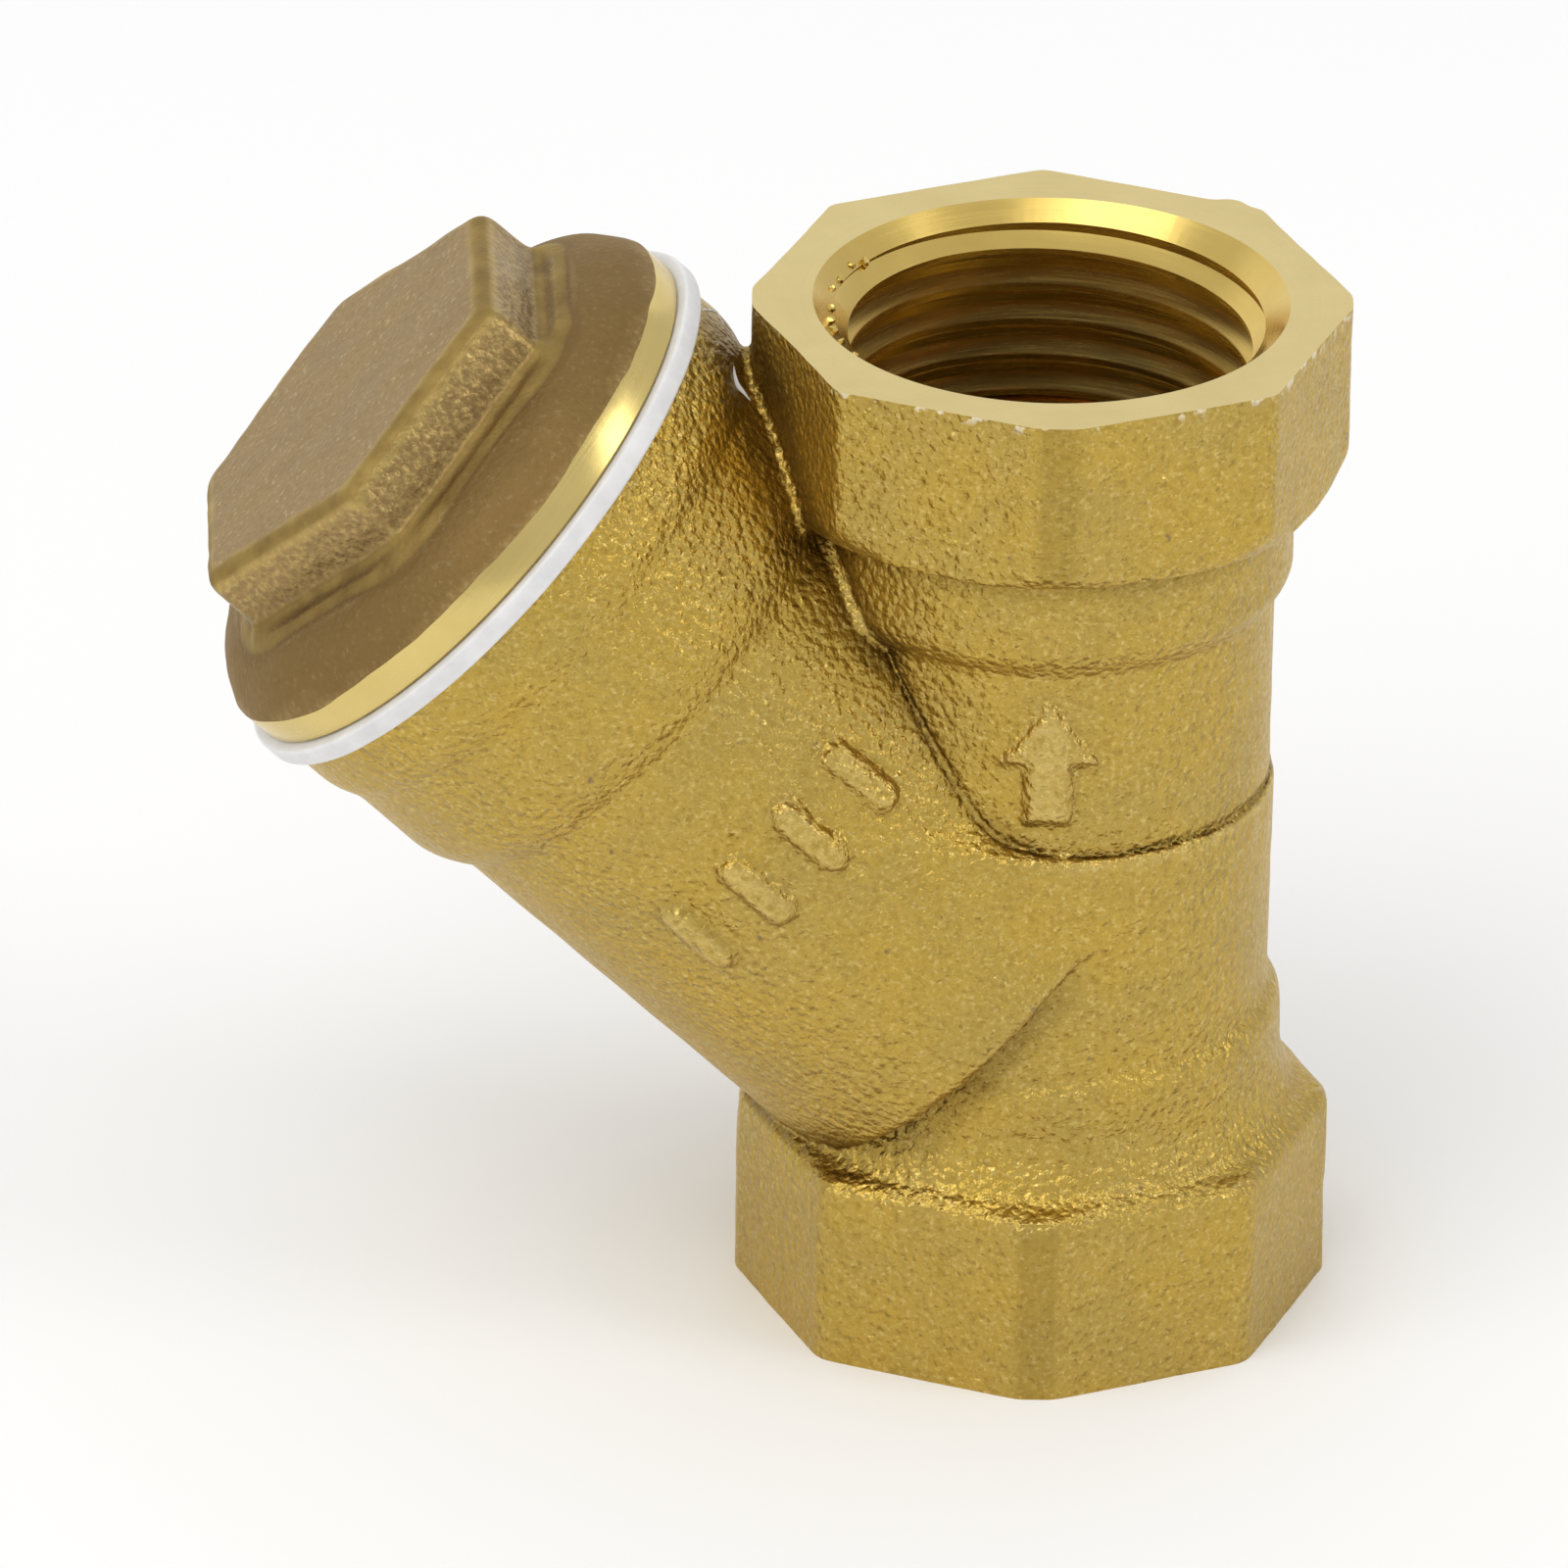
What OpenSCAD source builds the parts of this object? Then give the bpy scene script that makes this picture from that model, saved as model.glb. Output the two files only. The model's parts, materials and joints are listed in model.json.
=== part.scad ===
// Y strainer for half-inch pipe: a forged brass body with a threaded port at each end of a straight run,
// a slanted branch that holds a wire screen, and a screwed hexagon cap that closes the branch on a gasket.
// The origin is the centre of the inlet end face. +Z runs along the run towards the outlet, and the
// branch leans towards -X in the XZ plane.

/* [Run] */
// Length from the inlet end face to the outlet end face
run_length = 50; // [48:0.5:56]
// Width across the flats of the octagon at each end
across_flats = 26.1; // [25.6:0.1:27.5]
// Distance from the middle to the trimmed tips of the octagon on X and Y
tip_reach = 13.9; // [13.6:0.05:14.1]
// Radius of the run's tube
tube_r = 10.65; // [10.4:0.05:10.9]
// Radius of the collar behind each octagon
collar_r = 11.45; // [11.3:0.05:11.7]

/* [Ports] */
// Outer radius of the countersink in each end face
sink_r = 10.98; // [10.8:0.02:11.2]
// Radius of the tips of the female pipe thread
port_tip_r = 9.3155; // [9.3155:0.01:9.3655]
// Pitch of the pipe thread
port_pitch = 1.814; // [1.7:0.002:1.85]
// Depth of each threaded port
port_depth = 10; // [9.9:0.1:10.4]
// Radius of the water way behind each port
way_r = 7.5; // [7:0.1:7.8]

/* [Branch] */
// Angle between the run and the branch
branch_angle = 47.5; // [45:0.5:50]
// Height at which the branch axis meets the run axis
branch_height = 15; // [14.5:0.1:16]
// Distance along the branch axis to its machined mouth
mouth = 35.2; // [34.8:0.1:36]
// Outer radius of the branch barrel
barrel_r = 12.75; // [12.6:0.05:12.9]
// Distance along the branch axis to the flat inner end of the barrel
barrel_start = 3.1; // [2.8:0.1:3.6]
// Outer radius of the thicker part that carries the cap's thread
boss_r = 13.65; // [13.4:0.05:13.8]
// Outer radius of the rim at the mouth
rim_r = 14.1; // [14:0.05:14.3]
// Radius of the strainer chamber
chamber_r = 10.8; // [10.6:0.05:10.9]

/* [Cap] */
// Width across the flats of the hexagon
hex_flats = 19; // [18.5:0.1:19.4]
// Turn of the hexagon about the branch axis when the cap is tight
hex_turn = 32; // [0:1:60]
// Height of the hexagon's top above the mouth of the branch
hex_top = 9; // [8.6:0.1:10]
// Radius of the cap's flange
flange_r = 14.17; // [14:0.05:14.3]
// Pitch of the cap's thread
cap_pitch = 1.5; // [1.4:0.1:1.6]
// Length of the cap's threaded shank below the flange
shank_length = 9.2; // [8.6:0.1:9.4]

/* [Gasket] */
// Outer radius of the gasket
gasket_r = 14.75; // [14.4:0.05:15]
// Thickness of the gasket
gasket_t = 1; // [0.8:0.1:1.2]

/* [Screen] */
// Outer radius of the end rings
ring_r = 8.2; // [8:0.05:8.25]
// Outer radius of the mesh sleeve
sleeve_r = 7.85; // [7.6:0.05:7.85]
// Height of each end ring
ring_h = 2.4; // [2:0.1:3]

/* [Hidden] */
$fn = 96;

sink_depth = 0.96;           // depth of the countersink
first_groove = 1.9;          // distance from the end face to the middle of the first port groove
port_grooves = 5;
port_run_out = 0.8;          // slope from the end of the thread to the water way
port_groove_w = 0.46;        // the grooves are narrow marks at the thread's pitch, so the tips stay one wall
port_groove_d = 0.44;
wall_hide = 0.35;            // overlap that makes neighbouring pieces of the forging one solid
beyond = 1;                  // how far cutters reach past the faces that they open

top_shoulder = 8.5;          // length of the outlet octagon's flats
corner_cut = 1.2;            // how far the octagon's corners are cut back along Z
base_shoulder = 9.35;        // length of the inlet octagon's flats
shoulder_r = 12.85;          // foot of the shoulder on the inlet octagon
base_collar_z = 11.75;       // where the inlet collar begins
collar_h = 4.6;              // from the outlet octagon down to the end of its collar
collar_slope = 1.1;          // height over which a collar narrows to the tube
low_collar_top = 14.8;
low_collar_slope = 0.9;
belly_bottom = 15;
belly_top = 26.5;            // top of the fuller part of the run beside the screen seat
belly_r = 11.1;
belly_shift = -0.45;         // the fuller part is flush with the tube on the far side from the branch

boss_start = 25.1;           // distances along the branch axis to its two steps
boss_slope = 1.6;
rim_start = 31.5;
rim_slope = 0.9;

raised = 0.4;                // height of the arrow and the bars
arrow_bottom = 28.6;
arrow_neck = 31.5;
arrow_tip = 34.6;
arrow_half_w = 2.15;
shaft_half_w = 1.1;
bar_turns = [-62, -78, -94, -112];
bar_start = 15.1;
bar_length = 4.2;
bar_w = 1.5;

seat_z = 4.5;                // distance along the branch axis to the screen's seat
seat_r = 8.45;
chamber_start = 6.5;
seat_way_r = 7.2;            // water way from the inlet into the screen
seat_way_end = -4.5;
inlet_way_top = 14;
outlet_way_bottom = 26;

cap_tip_r = 11.55;           // male thread tips, cut back to clear the female tips
cap_root_r = 10.85;
female_tip_r = 11.65;
female_root_r = 12.2;
female_thread_end = 26.6;
cap_crest = 0.45;            // width of the flat tip between two grooves
cap_grooves = 5;
first_cap_groove = 0.9;      // from the start of each thread to the middle of its first groove
chamfer = 0.8;
tip_chamfer = 0.5;
relief = 0.6;                // plain neck between the cap's thread and its flange
cavity_r = 8.45;             // space in the cap for the upper end ring
cavity_gap = 0.2;
cavity_play = 0.1;
dome_r = 7;                  // narrower hollow inside the hexagon
dome_top = 5.2;
dome_chamfer = 0.8;
gasket_hole_r = 12.1;
rim_height = 1.75;           // machined edge of the cap's flange
flange_edge_h = 2.4;         // heights above the gasket of the points of the flange's sloping top
flange_slope_r = 13.3;
flange_slope_h = 3.15;
flange_top_r = 12.4;
flange_top_h = 3.7;
hex_root_r = 10.4;
hex_root_h = 4.6;

wire = 0.5;                  // thickness of the woven sleeve
ring_wall = 0.3;
ring_lip = 0.5;              // turned-in end of each ring

flat_r = across_flats / 2;
octagon_r = flat_r / cos(22.5);
round_r = octagon_r + 0.2;                // clear of the octagon's corners
shoulder_z = run_length - top_shoulder;   // where the outlet octagon begins
underside = mouth + gasket_t;             // distance along the branch axis to the cap flange's underside
screen_top = underside + cavity_gap;
sleeve_gap = ring_wall + 0.05;            // from each end of the screen to the end of its sleeve

// Moves children from the branch's own frame, with Z along the branch, into the part's frame.
module on_branch() {
    translate([0, 0, branch_height]) rotate([0, -branch_angle, 0]) children();
}

// Solid of revolution from [radius, height] points.
module turned(points) {
    rotate_extrude() polygon(points);
}

// Ring-shaped cutter for one groove of the cap's thread, with 30 degree flanks. It opens at radius tip_r and
// reaches root_r, which is larger in the branch and smaller on the cap.
module cap_groove(z, tip_r, root_r) {
    half = (cap_pitch - cap_crest) / 2;
    root_half = half - abs(root_r - tip_r) * tan(30);
    open_r = tip_r + sign(tip_r - root_r);
    turned([[open_r, z - half], [tip_r, z - half], [root_r, z - root_half],
            [root_r, z + root_half], [tip_r, z + half], [open_r, z + half]]);
}

// Octagonal end of the forging, with trimmed tips on X and Y.
module octagon(height) {
    intersection() {
        cylinder(h = height, r = octagon_r, $fn = 8);
        translate([-tip_reach, -tip_reach, 0]) cube([2 * tip_reach, 2 * tip_reach, height]);
    }
}

// Outlet octagon, whose lower corners are cut back by a cone.
module outlet_octagon() {
    intersection() {
        translate([0, 0, shoulder_z - corner_cut]) octagon(top_shoulder + corner_cut);
        turned([[0, shoulder_z - wall_hide], [collar_r, shoulder_z - wall_hide], [flat_r, shoulder_z],
                [round_r, shoulder_z + corner_cut], [round_r, run_length], [0, run_length]]);
    }
}

// Inlet octagon, with a sloping shoulder on top that narrows to the collar.
module inlet_octagon() {
    octagon(base_shoulder);
    turned([[0, base_shoulder - wall_hide], [shoulder_r, base_shoulder - wall_hide],
            [shoulder_r, base_shoulder], [collar_r, base_collar_z], [0, base_collar_z]]);
}

// Straight run between the octagons: two collars with the tube between them.
module run_tube() {
    upper = shoulder_z - wall_hide / 2;
    neck = shoulder_z - collar_h;
    turned([[0, base_collar_z - wall_hide], [collar_r, base_collar_z - wall_hide], [collar_r, low_collar_top],
            [tube_r, low_collar_top + low_collar_slope], [tube_r, neck - collar_slope], [collar_r, neck],
            [collar_r, upper], [0, upper]]);
    translate([belly_shift, 0, belly_bottom]) cylinder(h = belly_top - belly_bottom, r = belly_r);
}

// Outside of the branch, stepped up twice towards its mouth.
module branch_outside() {
    turned([[0, barrel_start], [barrel_r, barrel_start], [barrel_r, boss_start],
            [boss_r, boss_start + boss_slope], [boss_r, rim_start], [rim_r, rim_start + rim_slope],
            [rim_r, mouth], [0, mouth]]);
}

// Raised arrow that shows which way the water flows; side is -1 for the front and 1 for the back.
module flow_arrow(side) {
    half = [[0, arrow_bottom], [shaft_half_w, arrow_bottom], [shaft_half_w, arrow_neck],
            [arrow_half_w, arrow_neck], [0, arrow_tip]];
    intersection() {
        translate([0, side * tube_r, 0]) rotate([90, 0, 0])
            linear_extrude(height = 4, center = true) {
                polygon(half);
                mirror([1, 0]) polygon(half);
            }
        translate([0, 0, arrow_bottom - beyond])
            cylinder(h = arrow_tip - arrow_bottom + 2 * beyond, r = tube_r + raised);
    }
}

// Row of plain raised bars on the front of the branch barrel.
module raised_bars() {
    intersection() {
        for (turn = bar_turns)
            rotate([0, 0, turn]) translate([barrel_r - 1, -bar_w / 2, bar_start]) cube([2, bar_w, bar_length]);
        translate([0, 0, bar_start - beyond]) cylinder(h = bar_length + 2 * beyond, r = barrel_r + raised);
    }
}

// Hole of one port in its own frame: mouth at Z = 0, running up.
module port_hole() {
    turned([[0, -beyond], [sink_r, -beyond], [sink_r, 0], [port_tip_r, sink_depth],
            [port_tip_r, port_depth], [way_r, port_depth + port_run_out], [0, port_depth + port_run_out]]);
    for (i = [0 : port_grooves - 1]) {
        z = first_groove + i * port_pitch;
        half = port_groove_w / 2;
        turned([[port_tip_r - beyond, z - half], [port_tip_r, z - half], [port_tip_r + port_groove_d, z],
                [port_tip_r, z + half], [port_tip_r - beyond, z + half]]);
    }
}

// Hole of the branch: water way, screen seat, chamber and the cap's thread.
module branch_hole() {
    turned([[0, seat_way_end], [seat_way_r, seat_way_end], [seat_way_r, seat_z], [seat_r, seat_z],
            [seat_r, chamber_start], [chamber_r, chamber_start], [chamber_r, female_thread_end - chamfer],
            [female_tip_r, female_thread_end], [female_tip_r, mouth - chamfer], [female_root_r, mouth],
            [female_root_r, mouth + beyond], [0, mouth + beyond]]);
    for (i = [0 : cap_grooves - 1])
        cap_groove(female_thread_end + first_cap_groove + i * cap_pitch, female_tip_r, female_root_r);
}

module body() {
    color("goldenrod") difference() {
        union() {
            outlet_octagon();
            inlet_octagon();
            run_tube();
            on_branch() branch_outside();
            flow_arrow(-1);
            flow_arrow(1);
            on_branch() raised_bars();
        }
        port_hole();
        translate([0, 0, run_length]) mirror([0, 0, 1]) port_hole();
        translate([0, 0, port_depth]) cylinder(h = inlet_way_top - port_depth, r = way_r);
        translate([0, 0, outlet_way_bottom])
            cylinder(h = run_length - port_depth - outlet_way_bottom, r = way_r);
        on_branch() branch_hole();
    }
}

// Hexagonal head, with its upper corners turned down.
module cap_head() {
    hex_r = hex_flats / 2 / cos(30);
    head_base = underside + hex_root_h - tip_chamfer;
    head_top = mouth + hex_top;
    intersection() {
        translate([0, 0, head_base]) rotate([0, 0, hex_turn])
            cylinder(h = head_top - head_base, r = hex_r, $fn = 6);
        turned([[0, head_base], [hex_r + 0.1, head_base], [hex_r + 0.1, head_top - chamfer],
                [hex_flats / 2 - tip_chamfer, head_top], [0, head_top]]);
    }
}

module cap() {
    shank_end = underside - shank_length;
    color("peru") on_branch() difference() {
        union() {
            cap_head();
            turned([[0, shank_end], [cap_tip_r - tip_chamfer, shank_end], [cap_tip_r, shank_end + tip_chamfer],
                    [cap_tip_r, underside - relief], [cap_root_r, underside - relief], [cap_root_r, underside],
                    [flange_r, underside], [flange_r, underside + rim_height],
                    [flange_r - 0.2, underside + flange_edge_h], [flange_slope_r, underside + flange_slope_h],
                    [flange_top_r, underside + flange_top_h], [hex_root_r, underside + hex_root_h],
                    [0, underside + hex_root_h]]);
        }
        for (i = [0 : cap_grooves - 1])
            cap_groove(shank_end + tip_chamfer + first_cap_groove + i * cap_pitch, cap_tip_r, cap_root_r);
        turned([[0, shank_end - beyond], [cavity_r, shank_end - beyond], [cavity_r, screen_top + cavity_play],
                [dome_r, screen_top + cavity_play], [dome_r, underside + dome_top - dome_chamfer],
                [dome_r - dome_chamfer, underside + dome_top], [0, underside + dome_top]]);
    }
}

module gasket() {
    color("whitesmoke") on_branch()
        turned([[gasket_hole_r, mouth], [gasket_r, mouth], [gasket_r, underside],
                [gasket_hole_r, underside]]);
}

// Rolled wire sleeve, held at both ends by crimped rings.
module screen_sleeve() {
    color("silver") on_branch() translate([0, 0, seat_z + sleeve_gap]) difference() {
        cylinder(h = screen_top - seat_z - 2 * sleeve_gap, r = sleeve_r);
        translate([0, 0, -beyond]) cylinder(h = screen_top, r = sleeve_r - wire);
    }
}

// Crimped end ring in its own frame, with its turned-in lip at the bottom.
module end_ring() {
    inner = ring_r - ring_wall;
    turned([[inner - ring_lip, 0], [ring_r, 0], [ring_r, ring_h], [inner, ring_h], [inner, ring_wall],
            [inner - ring_lip, ring_wall]]);
}

module screen_lower_ring() {
    color("gainsboro") on_branch() translate([0, 0, seat_z]) end_ring();
}

module screen_upper_ring() {
    color("gainsboro") on_branch() translate([0, 0, screen_top]) mirror([0, 0, 1]) end_ring();
}

body();
cap();
gasket();
screen_sleeve();
screen_lower_ring();
screen_upper_ring();
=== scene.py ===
"""Y strainer in forged brass: the looks of every piece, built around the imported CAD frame.

Lengths inside the script are millimetres in the part's own frame: the origin is the centre of the inlet
end face, +Z runs along the straight run to the outlet, and the branch leans towards -X in the XZ plane.
Points "in the branch's own frame" have their Z along the branch, and their origin at BRANCH_START.
"""

import json
import math

import bpy
import numpy as np
import openvdb
from mathutils import Matrix, Vector


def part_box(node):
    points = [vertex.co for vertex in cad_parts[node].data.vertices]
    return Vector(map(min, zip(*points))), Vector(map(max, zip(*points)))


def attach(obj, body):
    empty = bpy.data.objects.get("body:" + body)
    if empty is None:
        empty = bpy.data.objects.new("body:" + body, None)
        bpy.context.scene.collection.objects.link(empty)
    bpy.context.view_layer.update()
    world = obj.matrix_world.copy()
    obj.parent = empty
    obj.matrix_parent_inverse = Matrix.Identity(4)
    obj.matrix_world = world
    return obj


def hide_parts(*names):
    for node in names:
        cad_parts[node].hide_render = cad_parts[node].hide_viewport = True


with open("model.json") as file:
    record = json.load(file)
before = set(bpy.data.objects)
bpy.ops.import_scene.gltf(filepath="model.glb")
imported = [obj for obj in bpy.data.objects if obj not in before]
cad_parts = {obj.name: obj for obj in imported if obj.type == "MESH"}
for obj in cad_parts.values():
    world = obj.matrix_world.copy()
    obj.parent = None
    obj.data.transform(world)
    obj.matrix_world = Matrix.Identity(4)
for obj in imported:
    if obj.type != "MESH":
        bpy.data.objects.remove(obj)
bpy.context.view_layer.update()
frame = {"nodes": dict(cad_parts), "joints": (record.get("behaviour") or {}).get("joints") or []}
MM = 0.001
NODES = frame["nodes"]
JOINTS = {joint["name"]: joint for joint in frame["joints"]}

# ---- Places and sizes taken from the frame ----
BRANCH_DIR = np.array(JOINTS["screen_draw"]["axis"], float)
BRANCH_DIR /= np.linalg.norm(BRANCH_DIR)
BRANCH_START = np.array(JOINTS["cap_turn"]["pos_m"], float) / MM
BRANCH_UP = np.array([BRANCH_DIR[2], 0, -BRANCH_DIR[0]])      # square to the branch, on the outlet's side
CAP_PITCH = 1.5


def branch_span(node):
    """Lowest and highest place of a CAD node along the branch axis, and its largest reach from that axis."""
    points = np.array([v.co for v in NODES[node].data.vertices], float) / MM - BRANCH_START
    along = points @ BRANCH_DIR
    away = np.linalg.norm(points - along[:, None] * BRANCH_DIR, axis=1)
    return along.min(), along.max(), away.max()


MOUTH, UNDERSIDE, GASKET_R = branch_span("gasket")
CAP_END, HEX_TOP, _ = branch_span("cap")
SCREEN_BOTTOM, SCREEN_TOP, RING_R = branch_span("screen_lower_ring")[0], *branch_span("screen_upper_ring")[1:]
SLEEVE_BOTTOM, SLEEVE_TOP, SLEEVE_R = branch_span("screen_sleeve")
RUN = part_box("body")[1].z / MM

# ---- Sizes of the forging ----
FLAT_R = 13.05                       # from the middle to a flat of the octagons
INLET_REACHES, OUTLET_REACHES = (13.75, 13.88, 13.8), (13.7, 13.86, 13.75)      # trimmed corners
TUBE_R, COLLAR_R, LOW_COLLAR_R = 10.65, 11.45, 11.5
COLLAR_BOTTOM, COLLAR_TOP = 35.9, 41.5
LOW_COLLAR_TOP, SHOULDER_TOP = 15.7, 12.5
SHOULDER_Z = 9.35                    # top of the inlet octagon
COLLAR_SLOPE, LOW_COLLAR_SLOPE, SHOULDER_SLOPE, UNDER_SLOPE = 0.73, -0.95, -0.42, 1.2
BELLY_R, BELLY_SHIFT, BELLY_TOP = 11.22, -0.36, 26.6
BARREL_R, BOSS_R, RIM_R = 12.77, 13.66, 14.1
BARREL_START, BOSS_START, RIM_START = 3.1, 25.1, 31.5
BOSS_SLOPE, RIM_SLOPE = 0.62, 0.5
EXTRA = 1.0                          # forged stock that machining takes off each end
ARROW_TOP, BARB_Z, ARROW_BOTTOM, SHAFT_R = 34.75, 31.5, 28.5, 1.1
BAR_ANGLES, BAR_MIDDLE, BAR_HALF, BAR_R = (-62, -78, -94, -112), 17.2, 1.4, 0.8
ARROW_HEIGHT, BAR_HEIGHT = 0.45, 0.47
WEB_AT, WEB_R = (-14.3, 0.2, 45.2), 1.1          # flash in the notch under the outlet's octagon
FLASH_AT, FLASH_R = (8.5, 10.3, 49.9), 0.56      # swelling of the outlet's edge, at the back

# Sizes of the cap's forging, in the branch's own frame
HEX_FLAT_R, HEX_TURN = 9.5, 32
PAD_WIDTH, PAD_TOP, DOME_TOP = 1.35, 40.58, 40.42      # low step round the foot of the hexagon

# Sizes of the machined surfaces
PORT_TIP_R, PORT_ROOT_R, PORT_PITCH = 9.3155, 10.12, 1.814
PORT_DEPTH, WATER_R, SINK_R = 10.0, 7.5, 10.98
OUTLET_START = -2.845                # where the outlet's thread starts, in radians round its axis
CAP_TIP_R, CAP_ROOT_R = 11.93, 11.05
FEMALE_TIP_R, FEMALE_ROOT_R = 11.17, 12.05
THREAD_FIRST = 24.87                 # middle of a groove of the branch's thread at angle 0
RIM_MACHINED_R = 14.17
SCREEN_SEAT_R = 8.45                 # round both end rings, in the body and in the cap


# ---- Distance fields: each takes points or coordinates and gives a distance, negative inside ----
def meet(a, b, k):
    """Part that is inside both a and b, with its edge rounded over a width k."""
    h = np.maximum(k - np.abs(a - b), 0) / k
    return np.maximum(a, b) + h * h * k / 4


def join(a, b, k):
    """Part that is inside a or b, with a fillet of width k."""
    return -meet(-a, -b, k)


def cone(r, z, r0, z0, slope):
    """Inside of the cone whose radius is r0 at z0 and grows by slope along z."""
    return (r - r0 - (z - z0) * slope) / math.hypot(1, slope)


def lumps(points, wavelength, seed):
    """Smooth uneven swelling between about -1 and 1, as on a forged surface."""
    rng = np.random.default_rng(seed)
    total = np.zeros(len(points))
    waves = 7
    for _ in range(waves):
        direction = rng.normal(size=3)
        direction *= 2 * math.pi / wavelength / np.linalg.norm(direction) * rng.uniform(0.7, 1.4)
        total += np.sin(points @ direction + rng.uniform(0, 2 * math.pi))
    return total / math.sqrt(waves * 2)


def octagon(x, y, reaches, k):
    """Inside of the octagon, with its corners at -X, +X and -Y trimmed to the given reaches."""
    low_x, high_x, low_y = reaches
    field = None
    for turn in (22.5, 67.5, 112.5, 157.5):
        angle = math.radians(turn)
        pair = np.abs(x * math.cos(angle) + y * math.sin(angle)) - FLAT_R
        field = pair if field is None else meet(field, pair, k)
    field = meet(field, x - high_x, 0.15)
    field = meet(field, -low_x - x, 0.15)
    return meet(field, -low_y - y, 0.15)


def belly_field(x, y, z):
    """Fuller part of the run, beside the screen's seat."""
    belly = meet(np.hypot(x - BELLY_SHIFT, y) - BELLY_R, z - BELLY_TOP, 0.55)
    return np.maximum(belly, 8 - z)


def run_field(x, y, z, r):
    """Straight run: the tube, two collars, the inlet's shoulder, and an octagon at each end."""
    upper_collar = meet(r - COLLAR_R, cone(r, z, TUBE_R, COLLAR_BOTTOM, COLLAR_SLOPE), 0.35)
    lower_collar = meet(r - LOW_COLLAR_R, cone(r, z, TUBE_R, LOW_COLLAR_TOP, LOW_COLLAR_SLOPE), 0.5)
    foot = octagon(x, y, INLET_REACHES, 0.5)
    shoulder = meet(cone(r, z, COLLAR_R, SHOULDER_TOP - 0.75, SHOULDER_SLOPE), z - SHOULDER_TOP, 0.3)
    shoulder = np.maximum(shoulder, np.maximum(SHOULDER_Z - 4 - z, foot + 0.45))
    slope = (COLLAR_TOP + (r - FLAT_R) * UNDER_SLOPE - z) / math.hypot(1, UNDER_SLOPE)
    under_side = meet(COLLAR_TOP - z, slope, 0.2)
    outlet = meet(octagon(x, y, OUTLET_REACHES, 0.3), under_side, 0.35)
    inlet = meet(foot, z - SHOULDER_Z, 0.9)
    field = join(r - TUBE_R, upper_collar, 0.15)
    field = join(field, lower_collar, 0.3)
    field = join(field, shoulder, 0.4)
    return join(join(field, outlet, 0.2), inlet, 0.75)


def branch_field(s, r):
    """Branch: the barrel with its flat inner end, and two steps up towards the mouth."""
    barrel = meet(r - BARREL_R, BARREL_START - s, 0.7)
    boss = meet(r - BOSS_R, cone(r, s, BARREL_R, BOSS_START, BOSS_SLOPE), 0.7)
    boss = np.maximum(boss, BOSS_START - 2 - s)
    rim = meet(r - RIM_R, cone(r, s, BOSS_R, RIM_START, RIM_SLOPE), 0.4)
    rim = np.maximum(rim, RIM_START - 2 - s)
    return join(join(barrel, boss, 0.2), rim, 0.2)


def arrow_field(x, z):
    """Outline of the arrow that points up the run: a triangle and a shaft."""
    head = np.maximum(BARB_Z - z, np.abs(x) * 0.82 + (z - ARROW_TOP) * 0.572)
    shaft = np.maximum(np.abs(x) - SHAFT_R, np.maximum(ARROW_BOTTOM - z, z - BARB_Z - 1))
    return join(head, shaft, 0.3)


def bars_field(s, angle):
    """Outlines of a row of plain bars round the front of the barrel."""
    field = None
    for middle in BAR_ANGLES:
        across = ((angle - middle + 180) % 360 - 180) * math.radians(1) * BARREL_R
        bar = np.hypot(across, np.maximum(np.abs(s - BAR_MIDDLE) - BAR_HALF, 0)) - BAR_R
        field = bar if field is None else np.minimum(field, bar)
    return field


def along_branch(points):
    """Place of each point along the branch, and its place across it, towards the outlet."""
    from_start = points - BRANCH_START
    return from_start @ BRANCH_DIR, from_start @ BRANCH_UP


def reliefs(points):
    """Distance outwards from the outlines of the arrows, at the front and the back, and of the bars."""
    x, y, z = points.T
    s, up = along_branch(points)
    near_sides = np.maximum(6 - np.abs(y), np.abs(np.hypot(x, y) - TUBE_R) - 2)
    arrow = np.maximum(arrow_field(x, z), near_sides)
    return arrow, bars_field(s, np.degrees(np.arctan2(y, up)))


def blob(points, middle, squash, radius):
    """Soft lump of brass round a place, squashed along each axis."""
    return np.linalg.norm((points - middle) * squash, axis=1) - radius


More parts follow.
